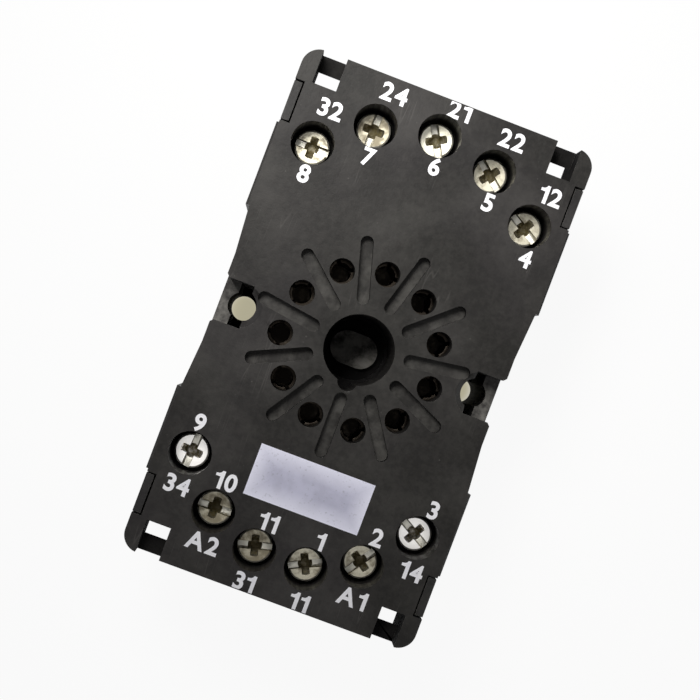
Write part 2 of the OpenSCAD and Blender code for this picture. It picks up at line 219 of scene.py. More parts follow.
class Effects:
    """Node groups for what ages every surface of the socket."""

    def __init__(self) -> None:
        """Builds each group once."""
        self.grain = self.spark_grain()
        self.dust = self.settled_dust()
        self.scratches = self.handling_scratches()
        self.wear = self.edge_wear()
        self.tarnish = self.plating_tarnish()

    def spark_grain(self) -> Tree:
        """Builds the fine eroded grain of the mould, with slow flow marks under it.

        Returns:
            Group with the outputs Height and Tone, each around 0.5.
        """
        effect = Effect("mould_grain", {"Scale": 5200.0, "Flow": 160.0}, "Height", "Tone")
        g, entry = effect.graph, effect.entry.outputs
        fine = g.noise(effect.place, entry["Scale"], 4.0, 0.65)
        flow = g.noise(effect.place, entry["Flow"], 3.0, 0.6)
        speckle = g.noise(effect.place, g.times(entry["Scale"], 0.3), 3.0, 0.6)
        tone = g.plus(g.times(speckle, 0.6), g.times(flow, 0.4))
        height = g.plus(g.times(fine, 0.5), g.times(speckle, 0.8))
        return effect.give(Height=height, Tone=tone)

    def settled_dust(self) -> Tree:
        """Builds pale dust that lies in clouds and specks on faces that look up.

        Returns:
            Group with the output Mask.
        """
        effect = Effect("settled_dust", {"Amount": 0.5, "Cloud": 110.0, "Specks": 900.0}, "Mask")
        g, entry = effect.graph, effect.entry.outputs
        normal = g.add("NewGeometry").outputs["Normal"]
        up = g.ramp(g.add("SeparateXYZ", {0: normal}).outputs["Z"], 0.2, 0.95)
        cloud = g.ramp(g.noise(effect.place, entry["Cloud"], 5.0, 0.62), 0.38, 0.74)
        cells = g.add("TexVoronoi", {"Vector": effect.place, "Scale": entry["Specks"]})
        speck = g.minus(1.0, g.ramp(cells.outputs["Distance"], 0.03, 0.13))
        rare = g.ramp(g.noise(effect.place, 420.0, 2.0), 0.56, 0.66)
        both = g.plus(g.times(cloud, 0.55), g.times(speck, rare))
        mask = g.times(g.times(both, up), entry["Amount"])
        return effect.give(Mask=g.add("Clamp", {"Value": mask}).outputs[0])

    def handling_scratches(self) -> Tree:
        """Builds sparse hairline scratches that run in two directions.

        Returns:
            Group with the output Mask.
        """
        effect = Effect("hairline_scratches", {"Amount": 0.5, "Scale": 700.0}, "Mask")
        g, entry = effect.graph, effect.entry.outputs
        lines = []
        for turn, stretch in ((0.5, 0.035), (-0.9, 0.05)):
            spread = g.add(
                "Mapping", {"Vector": effect.place, "Rotation": (0, 0, turn), "Scale": (1, stretch, 1)}
            )
            hair = g.noise(spread.outputs[0], entry["Scale"], 1.0, 0.3)
            lines.append(g.ramp(g.maths("ABSOLUTE", g.minus(hair, 0.5)), 0.012, 0.0))
        rare = g.ramp(g.noise(effect.place, 150.0, 2.0), 0.54, 0.68)
        mask = g.times(g.maths("MAXIMUM", *lines), rare)
        return effect.give(Mask=g.times(mask, entry["Amount"]))

    def edge_wear(self) -> Tree:
        """Builds the broken pale line where hands and tools rub an edge.

        Returns:
            Group with the output Mask.
        """
        effect = Effect("edge_wear", {"Edge": 0.0, "Amount": 0.5, "Scale": 500.0}, "Mask")
        g, entry = effect.graph, effect.entry.outputs
        patch = g.ramp(g.noise(effect.place, entry["Scale"], 4.0, 0.7), 0.4, 0.62)
        mask = g.times(g.times(entry["Edge"], patch), entry["Amount"])
        return effect.give(Mask=mask)

    def plating_tarnish(self) -> Tree:
        """Builds dull stains and fine brushing on plated metal.

        Returns:
            Group with the outputs Mask and Brushing.
        """
        effect = Effect("plating_tarnish", {"Amount": 0.4, "Scale": 650.0}, "Mask", "Brushing")
        g, entry = effect.graph, effect.entry.outputs
        stain = g.noise(effect.place, entry["Scale"], 5.0, 0.68)
        spread = g.add("Mapping", {"Vector": effect.place, "Scale": (1, 0.06, 1), "Rotation": (0, 0, 0.6)})
        brushing = g.noise(spread.outputs[0], 9000.0, 2.0, 0.5)
        start = g.minus(0.72, g.times(entry["Amount"], 0.4))
        edge = g.minus(stain, start)
        return effect.give(Mask=g.ramp(edge, -0.06, 0.16), Brushing=brushing)


# --- finishes


@dataclass(frozen=True)
class Finish:
    """What every finish has: a name, a main colour and the shared effects."""

    name: str
    colour: Colour
    effects: Effects

    def start(self) -> tuple[bpy.types.Material, Graph]:
        """Makes an empty material.

        Returns:
            The material and the graph of its nodes.
        """
        material = bpy.data.materials.new(self.name)
        material.use_nodes = True
        material.diffuse_color = self.colour
        return material, Graph(material.node_tree)

    def group(self, graph: Graph, tree: Tree, **inputs: object) -> dict[str, object]:
        """Places a shared effect in a material with its values, and gives its outputs by name."""
        return graph.add("Group", inputs, node_tree=tree).outputs

    def close(self, graph: Graph, inputs: dict[str, object]) -> None:
        """Adds the shader with its inputs and joins it to the material's output."""
        shader = graph.add("BsdfPrincipled", inputs)
        graph.add("OutputMaterial", {"Surface": shader.outputs[0]})

    def scaled(self, factor: float) -> Colour:
        """Gives the main colour, darker or lighter by a factor."""
        return tuple(min(1.0, factor * c) for c in self.colour[:3]) + (1,)


@dataclass(frozen=True)
class MouldedPlastic(Finish):
    """Black thermoplastic out of an eroded mould, dusty on top and rubbed along its edges, with painted
    shade where its walls hide the sky and painted light on some deep floors.
    """

    dust_colour: Colour = (0.3, 0.29, 0.27, 1)
    worn_colour: Colour = (0.2, 0.19, 0.18, 1)
    roughness: float = 0.44
    specular: float = 0.12
    dust: float = 0.14
    soot_colour: Colour = (0.0035, 0.0032, 0.0035, 1)
    wear: float = 0.35
    grain: float = 0.045

    def material(self) -> bpy.types.Material:
        """Builds the finish.

        Returns:
            The material.
        """
        material, g = self.start()
        place = g.place()
        grain = self.group(g, self.effects.grain)
        dust = self.group(g, self.effects.dust, Amount=self.dust)["Mask"]
        hollow = g.read("hollow")
        drift = g.ramp(g.noise(place, 480.0, 4.0, 0.65), 0.3, 0.7)
        # Pale dust, and painted light on the deeper marked floors, which lightens floors that stand in
        # shade.
        dust = g.maths("MAXIMUM", dust, g.times(hollow, drift))
        lines = self.group(g, self.effects.scratches, Amount=0.12)["Mask"]
        edge = g.read("edge")
        worn = self.group(g, self.effects.wear, Edge=edge, Amount=self.wear)["Mask"]
        body = g.mix(g.ramp(grain["Tone"], 0.38, 0.62), self.scaled(0.75), self.scaled(1.3))
        warm = g.ramp(g.noise(place, 60.0, 2.0), 0.35, 0.65)
        body = g.mix(g.times(warm, 0.25), body, (0.03, 0.026, 0.03, 1))
        # Painted shade: faces whose sky the walls hide are darkened almost to black and made rougher.
        deep = g.ramp(g.read("occlusion_shade"), 0.3, 0.8)
        body = g.mix(g.times(deep, 0.9), body, self.soot_colour)
        body = g.mix(dust, body, self.dust_colour)
        body = g.mix(g.maths("MAXIMUM", worn, lines), body, self.worn_colour)
        rough = g.plus(self.roughness - 0.06, g.times(grain["Tone"], 0.12))
        rough = g.plus(rough, g.times(dust, 0.2))
        rough = g.minus(rough, g.times(worn, 0.12))
        rough = g.plus(rough, g.times(deep, 0.45))
        height = g.minus(grain["Height"], g.times(lines, 1.5))
        bump = g.add("Bump", {"Strength": 0.6, "Distance": self.grain * MM, "Height": height})
        self.close(g, {
            "Base Color": body, "Roughness": rough,
            "Specular IOR Level": self.specular, "Normal": bump.outputs[0],
        })
        return material


@dataclass(frozen=True)
class PlatedMetal(Finish):
    """Plated steel or brass with stains and brushing, darkened brown in its recesses, with painted shade
    along screw slots and painted highlights where marked.
    """

    stain_colour: Colour = (0.18, 0.15, 0.1, 1)
    soil_colour: Colour = (0.16, 0.13, 0.058, 1)
    glint_colour: Colour = (1.0, 0.97, 0.86, 1)
    roughness: float = 0.3
    tarnish: float = 0.3
    wear: float = 0.4

    def material(self) -> bpy.types.Material:
        """Builds the finish.

        Returns:
            The material.
        """
        material, g = self.start()
        stain = self.group(g, self.effects.tarnish, Amount=self.tarnish)
        edge = g.read("edge")
        recess_mark = g.read("recess")
        worn = self.group(g, self.effects.wear, Edge=edge, Amount=self.wear)["Mask"]
        place = g.place()
        spots = g.ramp(g.noise(place, 1600.0, 3.0, 0.6), 0.3, 0.62)
        # Darkened brown where marked: in the cross recess, and as painted shade on the slot's walls and the
        # floor strips beside them.
        darkened = g.times(recess_mark, g.plus(0.5, g.times(spots, 0.5)))
        body = g.mix(g.times(stain["Mask"], 0.7), self.colour, self.stain_colour)
        body = g.mix(worn, body, self.scaled(1.2))
        # Painted highlight: marked faces turn pale and half as metallic, so the slot floors and head rims
        # look lit.
        glint = g.read("glint")
        body = g.mix(glint, body, self.glint_colour)
        body = g.mix(darkened, body, self.soil_colour)
        rough = g.plus(self.roughness - 0.05, g.times(stain["Brushing"], 0.1))
        rough = g.plus(rough, g.times(stain["Mask"], 0.15))
        rough = g.plus(rough, g.times(darkened, 0.3))
        metal = g.minus(1.0, g.times(darkened, 0.65))
        metal = g.times(metal, g.minus(1.0, g.times(glint, 0.5)))
        bump = g.add("Bump", {"Strength": 0.5, "Distance": 0.006 * MM, "Height": stain["Brushing"]})
        self.close(g, {
            "Base Color": body, "Roughness": rough, "Metallic": metal, "Normal": bump.outputs[0],
        })
        return material


@dataclass(frozen=True)
class PrintInk(Finish):
    """White pad-printing ink, thin and mottled, with small voids and grime."""

    shade: Colour = (0.62, 0.62, 0.66, 1)
    rim_colour: Colour = (0.86, 0.86, 1.0, 1)
    grime: float = 0.25
    roughness: float = 0.45

    def material(self) -> bpy.types.Material:
        """Builds the finish.

        Returns:
            The material.
        """
        material, g = self.start()
        place = g.place()
        cloud = g.ramp(g.noise(place, 420.0, 4.0, 0.6), 0.36, 0.66)
        body = g.mix(cloud, self.colour, self.shade)
        rim = g.read("rim")
        body = g.mix(g.times(rim, 0.8), body, self.rim_colour)
        fine = g.noise(place, 2600.0, 4.0, 0.6)
        body = g.mix(g.times(g.ramp(fine, 0.58, 0.72), self.grime), body, (0.2, 0.2, 0.22, 1))
        cells = g.add("TexVoronoi", {"Vector": place, "Scale": 330.0})
        speck = g.minus(1.0, g.ramp(cells.outputs["Distance"], 0.03, 0.06))
        rare = g.ramp(g.noise(place, 200.0, 2.0), 0.55, 0.6)
        body = g.mix(g.times(g.times(speck, rare), 0.8), body, (0.08, 0.08, 0.09, 1))
        rough = g.plus(self.roughness - 0.05, g.times(cloud, 0.1))
        bump = g.add("Bump", {"Strength": 0.4, "Distance": 0.01 * MM, "Height": fine})
        self.close(g, {
            "Base Color": body, "Roughness": rough, "Specular IOR Level": 0.3, "Normal": bump.outputs[0],
        })
        return material


# --- mesh building


class Workpiece:
    """A mesh under work, in millimetres, that becomes a piece in the frame."""

    def __init__(self) -> None:
        """Starts with nothing on the bench."""
        self.bm = bmesh.new()

    def move(self, way: Sequence[float]) -> None:
        """Moves the whole mesh."""
        bmesh.ops.translate(self.bm, vec=way, verts=self.bm.verts)

    def stretch(self, by: Sequence[float]) -> None:
        """Scales the whole mesh about the origin."""
        bmesh.ops.scale(self.bm, vec=by, verts=self.bm.verts)

    @classmethod
    def copy_of(cls, node: str) -> "Workpiece":
        """Takes a copy of a CAD node, with its doubled corners merged and its flats joined up.

        Args:
            node: Name of the CAD node.

        Returns:
            The copy, ready to be worked on.
        """
        work = cls()
        bm = work.bm
        bm.from_mesh(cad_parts[node].data)
        work.stretch((1 / MM,) * 3)
        bmesh.ops.remove_doubles(bm, verts=bm.verts, dist=0.002)
        bmesh.ops.dissolve_limit(
            bm, angle_limit=math.radians(0.5), use_dissolve_boundaries=False,
            verts=bm.verts, edges=bm.edges, delimit={"NORMAL"},
        )
        return work

    def soften(self, width: float, segments: int = 2, sharp: float = 30.0) -> None:
        """Rounds every sharp edge and marks the new faces as edge.

        Args:
            width: Width of the rounding.
            segments: Steps across it.
            sharp: Least angle between two faces that counts as sharp, in degrees.
        """
        layer = self.bm.faces.layers.float.get("edge") or self.bm.faces.layers.float.new("edge")
        edges = [
            e for e in self.bm.edges
            if e.is_manifold and e.calc_face_angle(0) > math.radians(sharp)
        ]
        made = bmesh.ops.bevel(
            self.bm, geom=edges, offset=width, offset_type="OFFSET", affect="EDGES",
            segments=segments, profile=0.5, material=-1, clamp_overlap=True,
        )
        for face in made["faces"]:
            face[layer] = 1.0

    def mark(self, name: str, test: FaceTest, value: float = 1.0) -> None:
        """Marks the faces that pass a test, for the finish to read.

        Args:
            name: Name of the mark.
            test: Function that takes a face and tells whether it is marked.
            value: Strength of the mark.
        """
        layer = self.bm.faces.layers.float.get(name) or self.bm.faces.layers.float.new(name)
        for face in self.bm.faces:
            if test(face):
                face[layer] = value

    def fade(self, name: str, test: Callable[[Vector], bool]) -> None:
        """Marks the corners that pass a test, so that the mark fades towards their neighbours.

        Args:
            name: Name of the mark.
            test: Function that takes a corner's place and tells whether it is marked.
        """
        layer = self.bm.verts.layers.float.new(name)
        for vert in self.bm.verts:
            vert[layer] = float(test(vert.co))

    def bury(self, walls: BVHTree) -> None:
        """Marks each face with the share of the sky in front of it that other walls hide, which the finish
        paints as shade.

        Args:
            walls: Search tree of all that can hide the sky.
        """
        layer = self.bm.faces.layers.float.new("occlusion_shade")
        sky = [
            Matrix.Rotation(math.radians(turn), 3, "Z") @ Matrix.Rotation(math.radians(tilt), 3, "X")
            @ Vector((0, 0, 1))
            for tilt in (10, 35, 60)
            for turn in range(0, 360, 45)
        ]
        for face in self.bm.faces:
            start = face.calc_center_median() + 0.02 * face.normal
            ahead = [ray for ray in sky if ray.dot(face.normal) > 0.05]
            stopped = sum(walls.ray_cast(start, ray, 60)[0] is not None for ray in ahead)
            face[layer] = stopped / len(ahead) if ahead else 1.0

    def cut(self, place: Vector, normal: Vector, fill: bool = True) -> None:
        """Cuts off what lies on the far side of a plane.

        Args:
            place: A point of the plane.
            normal: Direction of the side that goes.
            fill: Whether the cut is closed with a face.
        """
        bm = self.bm
        geom = bm.verts[:] + bm.edges[:] + bm.faces[:]
        cut = bmesh.ops.bisect_plane(
            bm, geom=geom, dist=1e-5, plane_co=place, plane_no=normal, clear_outer=True
        )
        if fill:
            edges = [e for e in cut["geom_cut"] if isinstance(e, bmesh.types.BMEdge)]
            bmesh.ops.holes_fill(bm, edges=edges, sides=0)

    def coil(
        self, section: list, centre: Sequence, axis: Sequence, pitch: float, turns: int, steps: int
    ) -> list:
        """Winds a section round an axis.

        Args:
            section: Vertices and edges to wind on.
            centre: A point of the axis.
            axis: Direction of the axis.
            pitch: Rise of each turn.
            turns: Number of turns.
            steps: Steps in a turn.

        Returns:
            The section at the end.
        """
        made = bmesh.ops.spin(
            self.bm, geom=section, cent=centre, axis=axis, dvec=[pitch / steps * way for way in axis],
            angle=2 * math.pi * turns, steps=steps * turns, use_merge=False,
        )
        return [part for part in made["geom_last"] if not isinstance(part, Face)]

    def take(self, other: "Workpiece") -> None:
        """Adds another workpiece's mesh to this one and empties the other."""
        mesh = bpy.data.meshes.new("taken")
        other.bm.to_mesh(mesh)
        other.bm.free()
        self.bm.from_mesh(mesh)
        bpy.data.meshes.remove(mesh)

    def finish(self, name: str, material: bpy.types.Material, smooth: float = 32.0) -> bpy.types.Object:
        """Turns the workpiece into an object in metres, at the origin of the frame.

        Args:
            name: Name of the piece.
            material: Its finish.
            smooth: Angle up to which neighbouring faces are shaded as one, in degrees.

        Returns:
            The object.
        """
        self.stretch((MM,) * 3)
        mesh = bpy.data.meshes.new(name)
        self.bm.to_mesh(mesh)
        self.bm.free()
        mesh.materials.clear()
        mesh.materials.append(material)
        mesh.shade_smooth()
        mesh.set_sharp_from_angle(angle=math.radians(smooth))
        piece = bpy.data.objects.new(name, mesh)
        bpy.context.scene.collection.objects.link(piece)
        shading = piece.modifiers.new("flat_faces_first", "WEIGHTED_NORMAL")
        shading.keep_sharp = True
        shading.weight = 90
        return piece


def middle(node: str) -> Vector:
    """Gives the middle of a CAD node's box, in millimetres."""
    low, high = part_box(node)
    return (low + high) / (2 * MM)


def top(node: str) -> float:
    """Gives the highest level of a CAD node, in millimetres."""
    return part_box(node)[1].z / MM


def settle(piece: bpy.types.Object, body: str, slot: Slot, *nodes: str) -> None:
    """Hands a piece to the frame.

    Args:
        piece: The finished object.
        body: Body that it moves with.
        slot: Material slot of the record; not used.
        *nodes: CAD nodes that it stands for.
    """
    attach(piece, body)
    if nodes:
        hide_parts(*nodes)
    faces = len(piece.data.polygons)
    log.info("%s: %d faces, rides on %s", piece.name, faces, body)


# --- sub-assemblies


@dataclass
class Mouldings:
    """Cover, base and rail clip, with the small roundings of a mould."""

    effects: Effects
    cover_edge: float = 0.12
    base_edge: float = 0.12
    clip_edge: float = 0.2
    # Floor depths below the top, each with a strength: pale dust on the vent slots' floors, partly painted
    # light on the pocket ledges, painted light on the key hole's floor.
    hollows: tuple[tuple[float, float], ...] = ((1.4, 0.17), (5.0, 0.6), (14.0, 1.0))
    vent_depth: float = 1.4
    vent_lip: float = 0.15
    vent_reach: float = 18.0
    corner_x: tuple[float, float] = (13.2, 18.0)
    corner_y: float = 27.6
    corner_top: float = 1.0
    corner_outward: float = 5.0
    walls: BVHTree = field(init=False)

    def floor_at(self, face: Face, level: float) -> bool:
        """Tells whether a face is a floor at a level; the finish lightens these floors with pale dust, and
        with painted light on the deeper ones.
        """
        return face.normal.z > 0.99 and abs(face.calc_center_median().z - level) < 0.02

    def on_vent_wall(self, face: Face, level: float) -> bool:
        """Tells whether a face is a wall of a shallow slot in the top at a level."""
        spot = face.calc_center_median()
        deep = level - spot.z
        inside = spot.xy.length < self.vent_reach and self.vent_lip < deep < self.vent_depth
        return inside and abs(face.normal.z) < 0.3

    def in_corner(self, face: Face, level: float) -> bool:
        """Tells whether a face lies in one of the openings beside the ears, below a level."""
        spot, way = face.calc_center_median(), face.normal
        near, far = self.corner_x
        inside = near < abs(spot.x) < far and self.corner_y < abs(spot.y)
        inward = max(way.x * spot.x, way.y * spot.y) < self.corner_outward
        return inside and spot.z < level - self.corner_top and inward and way.z > -0.5

    def build(self) -> None:
        """Builds the three mouldings."""
        cover = MouldedPlastic("black_cover", (0.018, 0.017, 0.0158, 1), self.effects)
        base = MouldedPlastic("black_base", (0.018, 0.0175, 0.017, 1), self.effects, roughness=0.46)
        clip = MouldedPlastic("black_clip", (0.015, 0.015, 0.0155, 1), self.effects, roughness=0.42)
        whole = Workpiece.copy_of("cover")
        whole.take(Workpiece.copy_of("base"))
        self.walls = BVHTree.FromBMesh(whole.bm)
        whole.bm.free()
        self.mould("cover", "housing", self.cover_edge, cover, Slot.COVER)
        self.mould("base", "housing", self.base_edge, base, Slot.BASE)
        self.mould("rail_clip", "rail_clip", self.clip_edge, clip, Slot.CLIP)

    def mould(self, node: str, body: str, edge: float, finish: MouldedPlastic, slot: Slot) -> None:
        """Builds one moulding from its CAD node.

        Args:
            node: CAD node that it stands for.
            body: Body that it moves with.
            edge: Width of its roundings.
            finish: Its finish.
            slot: Its material slot.
        """
        work = Workpiece.copy_of(node)
        high = top(node)
        for depth, strength in self.hollows:
            level = high - depth
            work.mark("hollow", lambda face: self.floor_at(face, level), strength)
        work.soften(edge)
        work.bury(self.walls)
        # Painted shade: dark outlines on the vent slots' walls and dark openings beside the ears.
        work.mark("occlusion_shade", lambda face: self.on_vent_wall(face, high), 0.7)
        work.mark("occlusion_shade", lambda face: self.in_corner(face, high), 0.9)
        piece = work.finish(node + "_moulding", finish.material())
        settle(piece, body, slot, node)


@dataclass
class ScrewHead:
    """Head of one screw, darkened brown in its slotted cross recess, with painted shade along its slot and
    painted highlights on its slot floor and rim.
    """

    node: str
    height: float = 2.0
    slot_depth: float = 0.8
    slot_half: float = 0.475
    rim: float = 0.1
    dirty: float = 0.14
    recess_reach: float = 1.45
    edge: float = 0.08
    crown_reach: float = 1.85
    crown_depth: float = 0.4

    def build(self) -> Workpiece:
        """Cuts the head off its shank, rounds it and marks its slot, recess and rim.

        Returns:
            The head.
        """
        self.centre, self.crown = middle(self.node), top(self.node)
        self.seat, self.level = self.crown - self.height, self.crown - self.slot_depth
        self.work = Workpiece.copy_of(self.node)
        self.work.cut(Vector((0, 0, self.seat)), Vector((0, 0, -1)))
        self.run = self.slot_run()
        self.split_slot_floor()
        self.work.soften(self.edge)
        self.work.mark("recess", self.in_recess)
        # Painted shade on the slot's walls and their top roundings.
        self.work.mark("recess", self.on_slot_wall)
        # Painted highlights on the slot floor and on the rim of the head.
        self.work.mark("glint", self.is_slot_floor)
        self.work.mark("glint", self.on_rim, 0.5)
        return self.work

    def slot_run(self) -> Vector:
        """Finds the direction of the slot from the farthest corners of its floor.

        Returns:
            Unit vector along the slot, in plan.
        """
        verts = self.work.bm.verts
        ends = [(v.co - self.centre).to_2d() for v in verts if abs(v.co.z - self.level) < 0.01]
        far = sorted(ends, key=lambda spot: spot.length)[-4:]
        ahead = [spot if spot.dot(far[0]) > 0 else -spot for spot in far]
        return sum(ahead, Vector((0, 0))).normalized()

    def split_slot_floor(self) -> None:
        """Divides the slot's floor along its length and marks the strips beside its walls with painted
        shadow.
        """
        across = Vector((-self.run.y, self.run.x, 0))
        unshaded_half = self.slot_half - self.dirty
        for way in (1, -1):
            floor = [f for f in self.work.bm.faces if self.is_slot_floor(f)]
            geom = {*floor, *(e for f in floor for e in f.edges), *(v for f in floor for v in f.verts)}
            place = self.centre + way * unshaded_half * across
            bmesh.ops.bisect_plane(
                self.work.bm, geom=list(geom), dist=1e-4, plane_co=place, plane_no=across
            )
        # Painted shadow on the floor strips beside the slot's walls.
        self.work.mark("recess", lambda face: self.is_slot_floor(face) and abs(
            (face.calc_center_median() - self.centre).dot(across)) > unshaded_half, 0.75)

    def is_slot_floor(self, face: Face) -> bool:
        """Tells whether a face is part of the slot's floor."""
        return face.normal.z > 0.99 and abs(face.calc_center_median().z - self.level) < 0.02

    def on_slot_wall(self, face: Face) -> bool:
        """Tells whether a face belongs to the slot's walls or the roundings along their tops, which get
        painted shade.

        Args:
            face: Face of the head.

        Returns:
            True on a wall or its rim.
        """
        spot = face.calc_center_median()
        across = abs((spot - self.centre).to_2d().cross(self.run))
        inside = self.level + 0.02 < spot.z
        return inside and across < self.slot_half + self.rim and face.normal.z < 0.99

    def on_rim(self, face: Face) -> bool:
        """Tells whether a face belongs to the rounding round the head's top."""
        spot = face.calc_center_median() - self.centre
        outer = spot.xy.length > self.crown_reach and face.normal.z > 0.2
        return outer and face.calc_center_median().z > self.crown - self.crown_depth

    def in_recess(self, face: Face) -> bool:
        """Tells whether a face of the head lies inside the cross recess."""
        spot = face.calc_center_median()
        inside = (spot - self.centre).to_2d().length < self.recess_reach
        return inside and self.seat + 0.05 < spot.z < self.level - 0.03


@dataclass
class TerminalScrews:
    """Eleven machine screws with a rolled thread.

    The crest stays 0.05 mm inside the solid model's, so that the turning thread clears its clamp.
    """

    effects: Effects
    crest: float = 1.45
    root: float = 1.24
    pitch: float = 0.5
    steps: int = 24

    def state(self, k: int) -> State:
        """Tells how bright screw k's plating is painted, and how tarnished it is."""
        if k in (3, 9):
            return State.POLISHED
        if k in (7, 10, 11):
            return State.DULLED
        return State.BRIGHT if k == 6 else State.HANDLED

    def thread(self, low: float, high: float) -> Workpiece:
        """Builds a threaded shank on the Z axis.

        Args:
            low: Level of its tip.
            high: Level at which it runs into the head.

        Returns:
            The shank.
        """
        work = Workpiece()
        bm = work.bm
        flank, flat = 0.36 * self.pitch, 0.14 * self.pitch
        levels = [
            (self.root, 0), (self.root, flat), (self.crest, flat + flank),
            (self.crest, 2 * flat + flank), (self.root, self.pitch),
        ]
        start = low - self.pitch
        verts = [bm.verts.new((r, 0, start + z)) for r, z in levels]
        edges = [bm.edges.new(pair) for pair in zip(verts, verts[1:])]
        turns = math.ceil((high - start) / self.pitch)
        work.coil(verts + edges, (0, 0, 0), (0, 0, 1), self.pitch, turns, self.steps)
        bmesh.ops.remove_doubles(bm, verts=bm.verts, dist=0.002)
        work.cut(Vector((0, 0, high)), Vector((0, 0, 1)))
        work.cut(Vector((0, 0, low)), Vector((0, 0, -1)))
        bmesh.ops.recalc_face_normals(bm, faces=bm.faces)
        return work

    def build(self) -> None:
        """Builds every screw."""
        # Painted light: lighter nickel for heads that catch more light, darker nickel for heads that catch
        # less.
        colours = {
            State.POLISHED: (1.0, 0.98, 0.95, 1),
            State.BRIGHT: (0.62, 0.6, 0.5, 1),
            State.HANDLED: (0.54, 0.51, 0.41, 1),
            State.DULLED: (0.45, 0.42, 0.33, 1),
        }
        finishes = {
            state: PlatedMetal(
                f"nickel_{state.name.lower()}", colour, self.effects,
                roughness=0.4 + 0.1 * state.value, tarnish=state.value,
            ).material()
            for state, colour in colours.items()
        }
        for k in TERMINALS:
            node = f"screw_{k}"
            head = ScrewHead(node)
            work = head.build()
            shank = self.thread(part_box(node)[0].z / MM, head.seat + 0.1)
            shank.move((head.centre.x, head.centre.y, 0))
            work.take(shank)
            piece = work.finish(f"terminal_screw_{k}", finishes[self.state(k)])
            settle(piece, node, Slot.SCREW, node)


@dataclass
class Metalwork:
    """Rising clamps and sleeve contacts of the terminals."""

    effects: Effects
    clamp_edge: float = 0.07
    contact_edge: float = 0.06

    def build(self) -> None:
        """Builds the clamp and the contact of every terminal."""
        zinc = PlatedMetal(
            "zinc_plate", (0.6, 0.62, 0.64, 1), self.effects,
            stain_colour=(0.3, 0.3, 0.29, 1), roughness=0.38, tarnish=0.45,
        ).material()
        # Painted shade: the contacts are coloured almost black, for the deep pin holes they sit in.
        brass = PlatedMetal(
            "contact_brass_in_shade", (0.045, 0.038, 0.03, 1), self.effects,
            stain_colour=(0.015, 0.012, 0.01, 1), roughness=0.34, tarnish=0.9,
        ).material()
        for k in TERMINALS:
            clamp = Workpiece.copy_of(f"clamp_{k}")
            clamp.soften(self.clamp_edge)
            piece = clamp.finish(f"clamp_cage_{k}", zinc)
            settle(piece, f"clamp_{k}", Slot.CLAMP, f"clamp_{k}")
            contact = Workpiece.copy_of(f"contact_{k}")
            contact.soften(self.contact_edge)
            piece = contact.finish(f"pin_contact_{k}", brass)
            settle(piece, "housing", Slot.CONTACT, f"contact_{k}")


@dataclass
class ClipSpring:
    """Compression spring of the rail clip, wound round the Y axis with closed end turns."""

    effects: Effects
    joint: str = "rail_clip_slide"
    wire: float = 0.25
    turns: int = 7
    steps: int = 30
    sides: int = 12

    def build(self) -> None:
        """Builds the spring between the clip's window and the base's post."""
        low, high = (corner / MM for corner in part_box("clip_spring"))
        centre = (low + high) / 2
        radius = (high.x - low.x) / 2 - self.wire
        work = Workpiece()
        start = Vector((centre.x + radius, low.y + self.wire, centre.z))
        ring = bmesh.ops.create_circle(
            work.bm, segments=self.sides, radius=self.wire, cap_ends=False,
            matrix=Matrix.Translation(start),
        )
        edges = list({e for v in ring["verts"] for e in v.link_edges})
        closed = 2.04 * self.wire
        open_turns = self.turns - 2
        pitch = (high.y - low.y - 2 * self.wire - 2 * closed) / open_turns
        section = ring["verts"] + edges
        for turns, rise in ((1, closed), (open_turns, pitch), (1, closed)):
            section = work.coil(section, centre, (0, 1, 0), rise, turns, self.steps)
        bmesh.ops.remove_doubles(work.bm, verts=work.bm.verts, dist=1e-4)
        ends = [e for e in work.bm.edges if e.is_boundary]
        bmesh.ops.holes_fill(work.bm, edges=ends, sides=0)
        bmesh.ops.recalc_face_normals(work.bm, faces=work.bm.faces)
        steel = PlatedMetal(
            "spring_wire", (0.5, 0.5, 0.5, 1), self.effects,
            stain_colour=(0.16, 0.13, 0.1, 1), roughness=0.3, tarnish=0.3,
        ).material()
        piece = work.finish("clip_spring_coil", steel, smooth=50)
        settle(piece, "housing", Slot.SPRING, "clip_spring")
        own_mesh(piece)


@dataclass(frozen=True)
class Legend:
    """Printed marks of one terminal, each centred at an offset from its screw."""

    outer: str
    inner_at: tuple[float, float]
    outer_at: tuple[float, float]


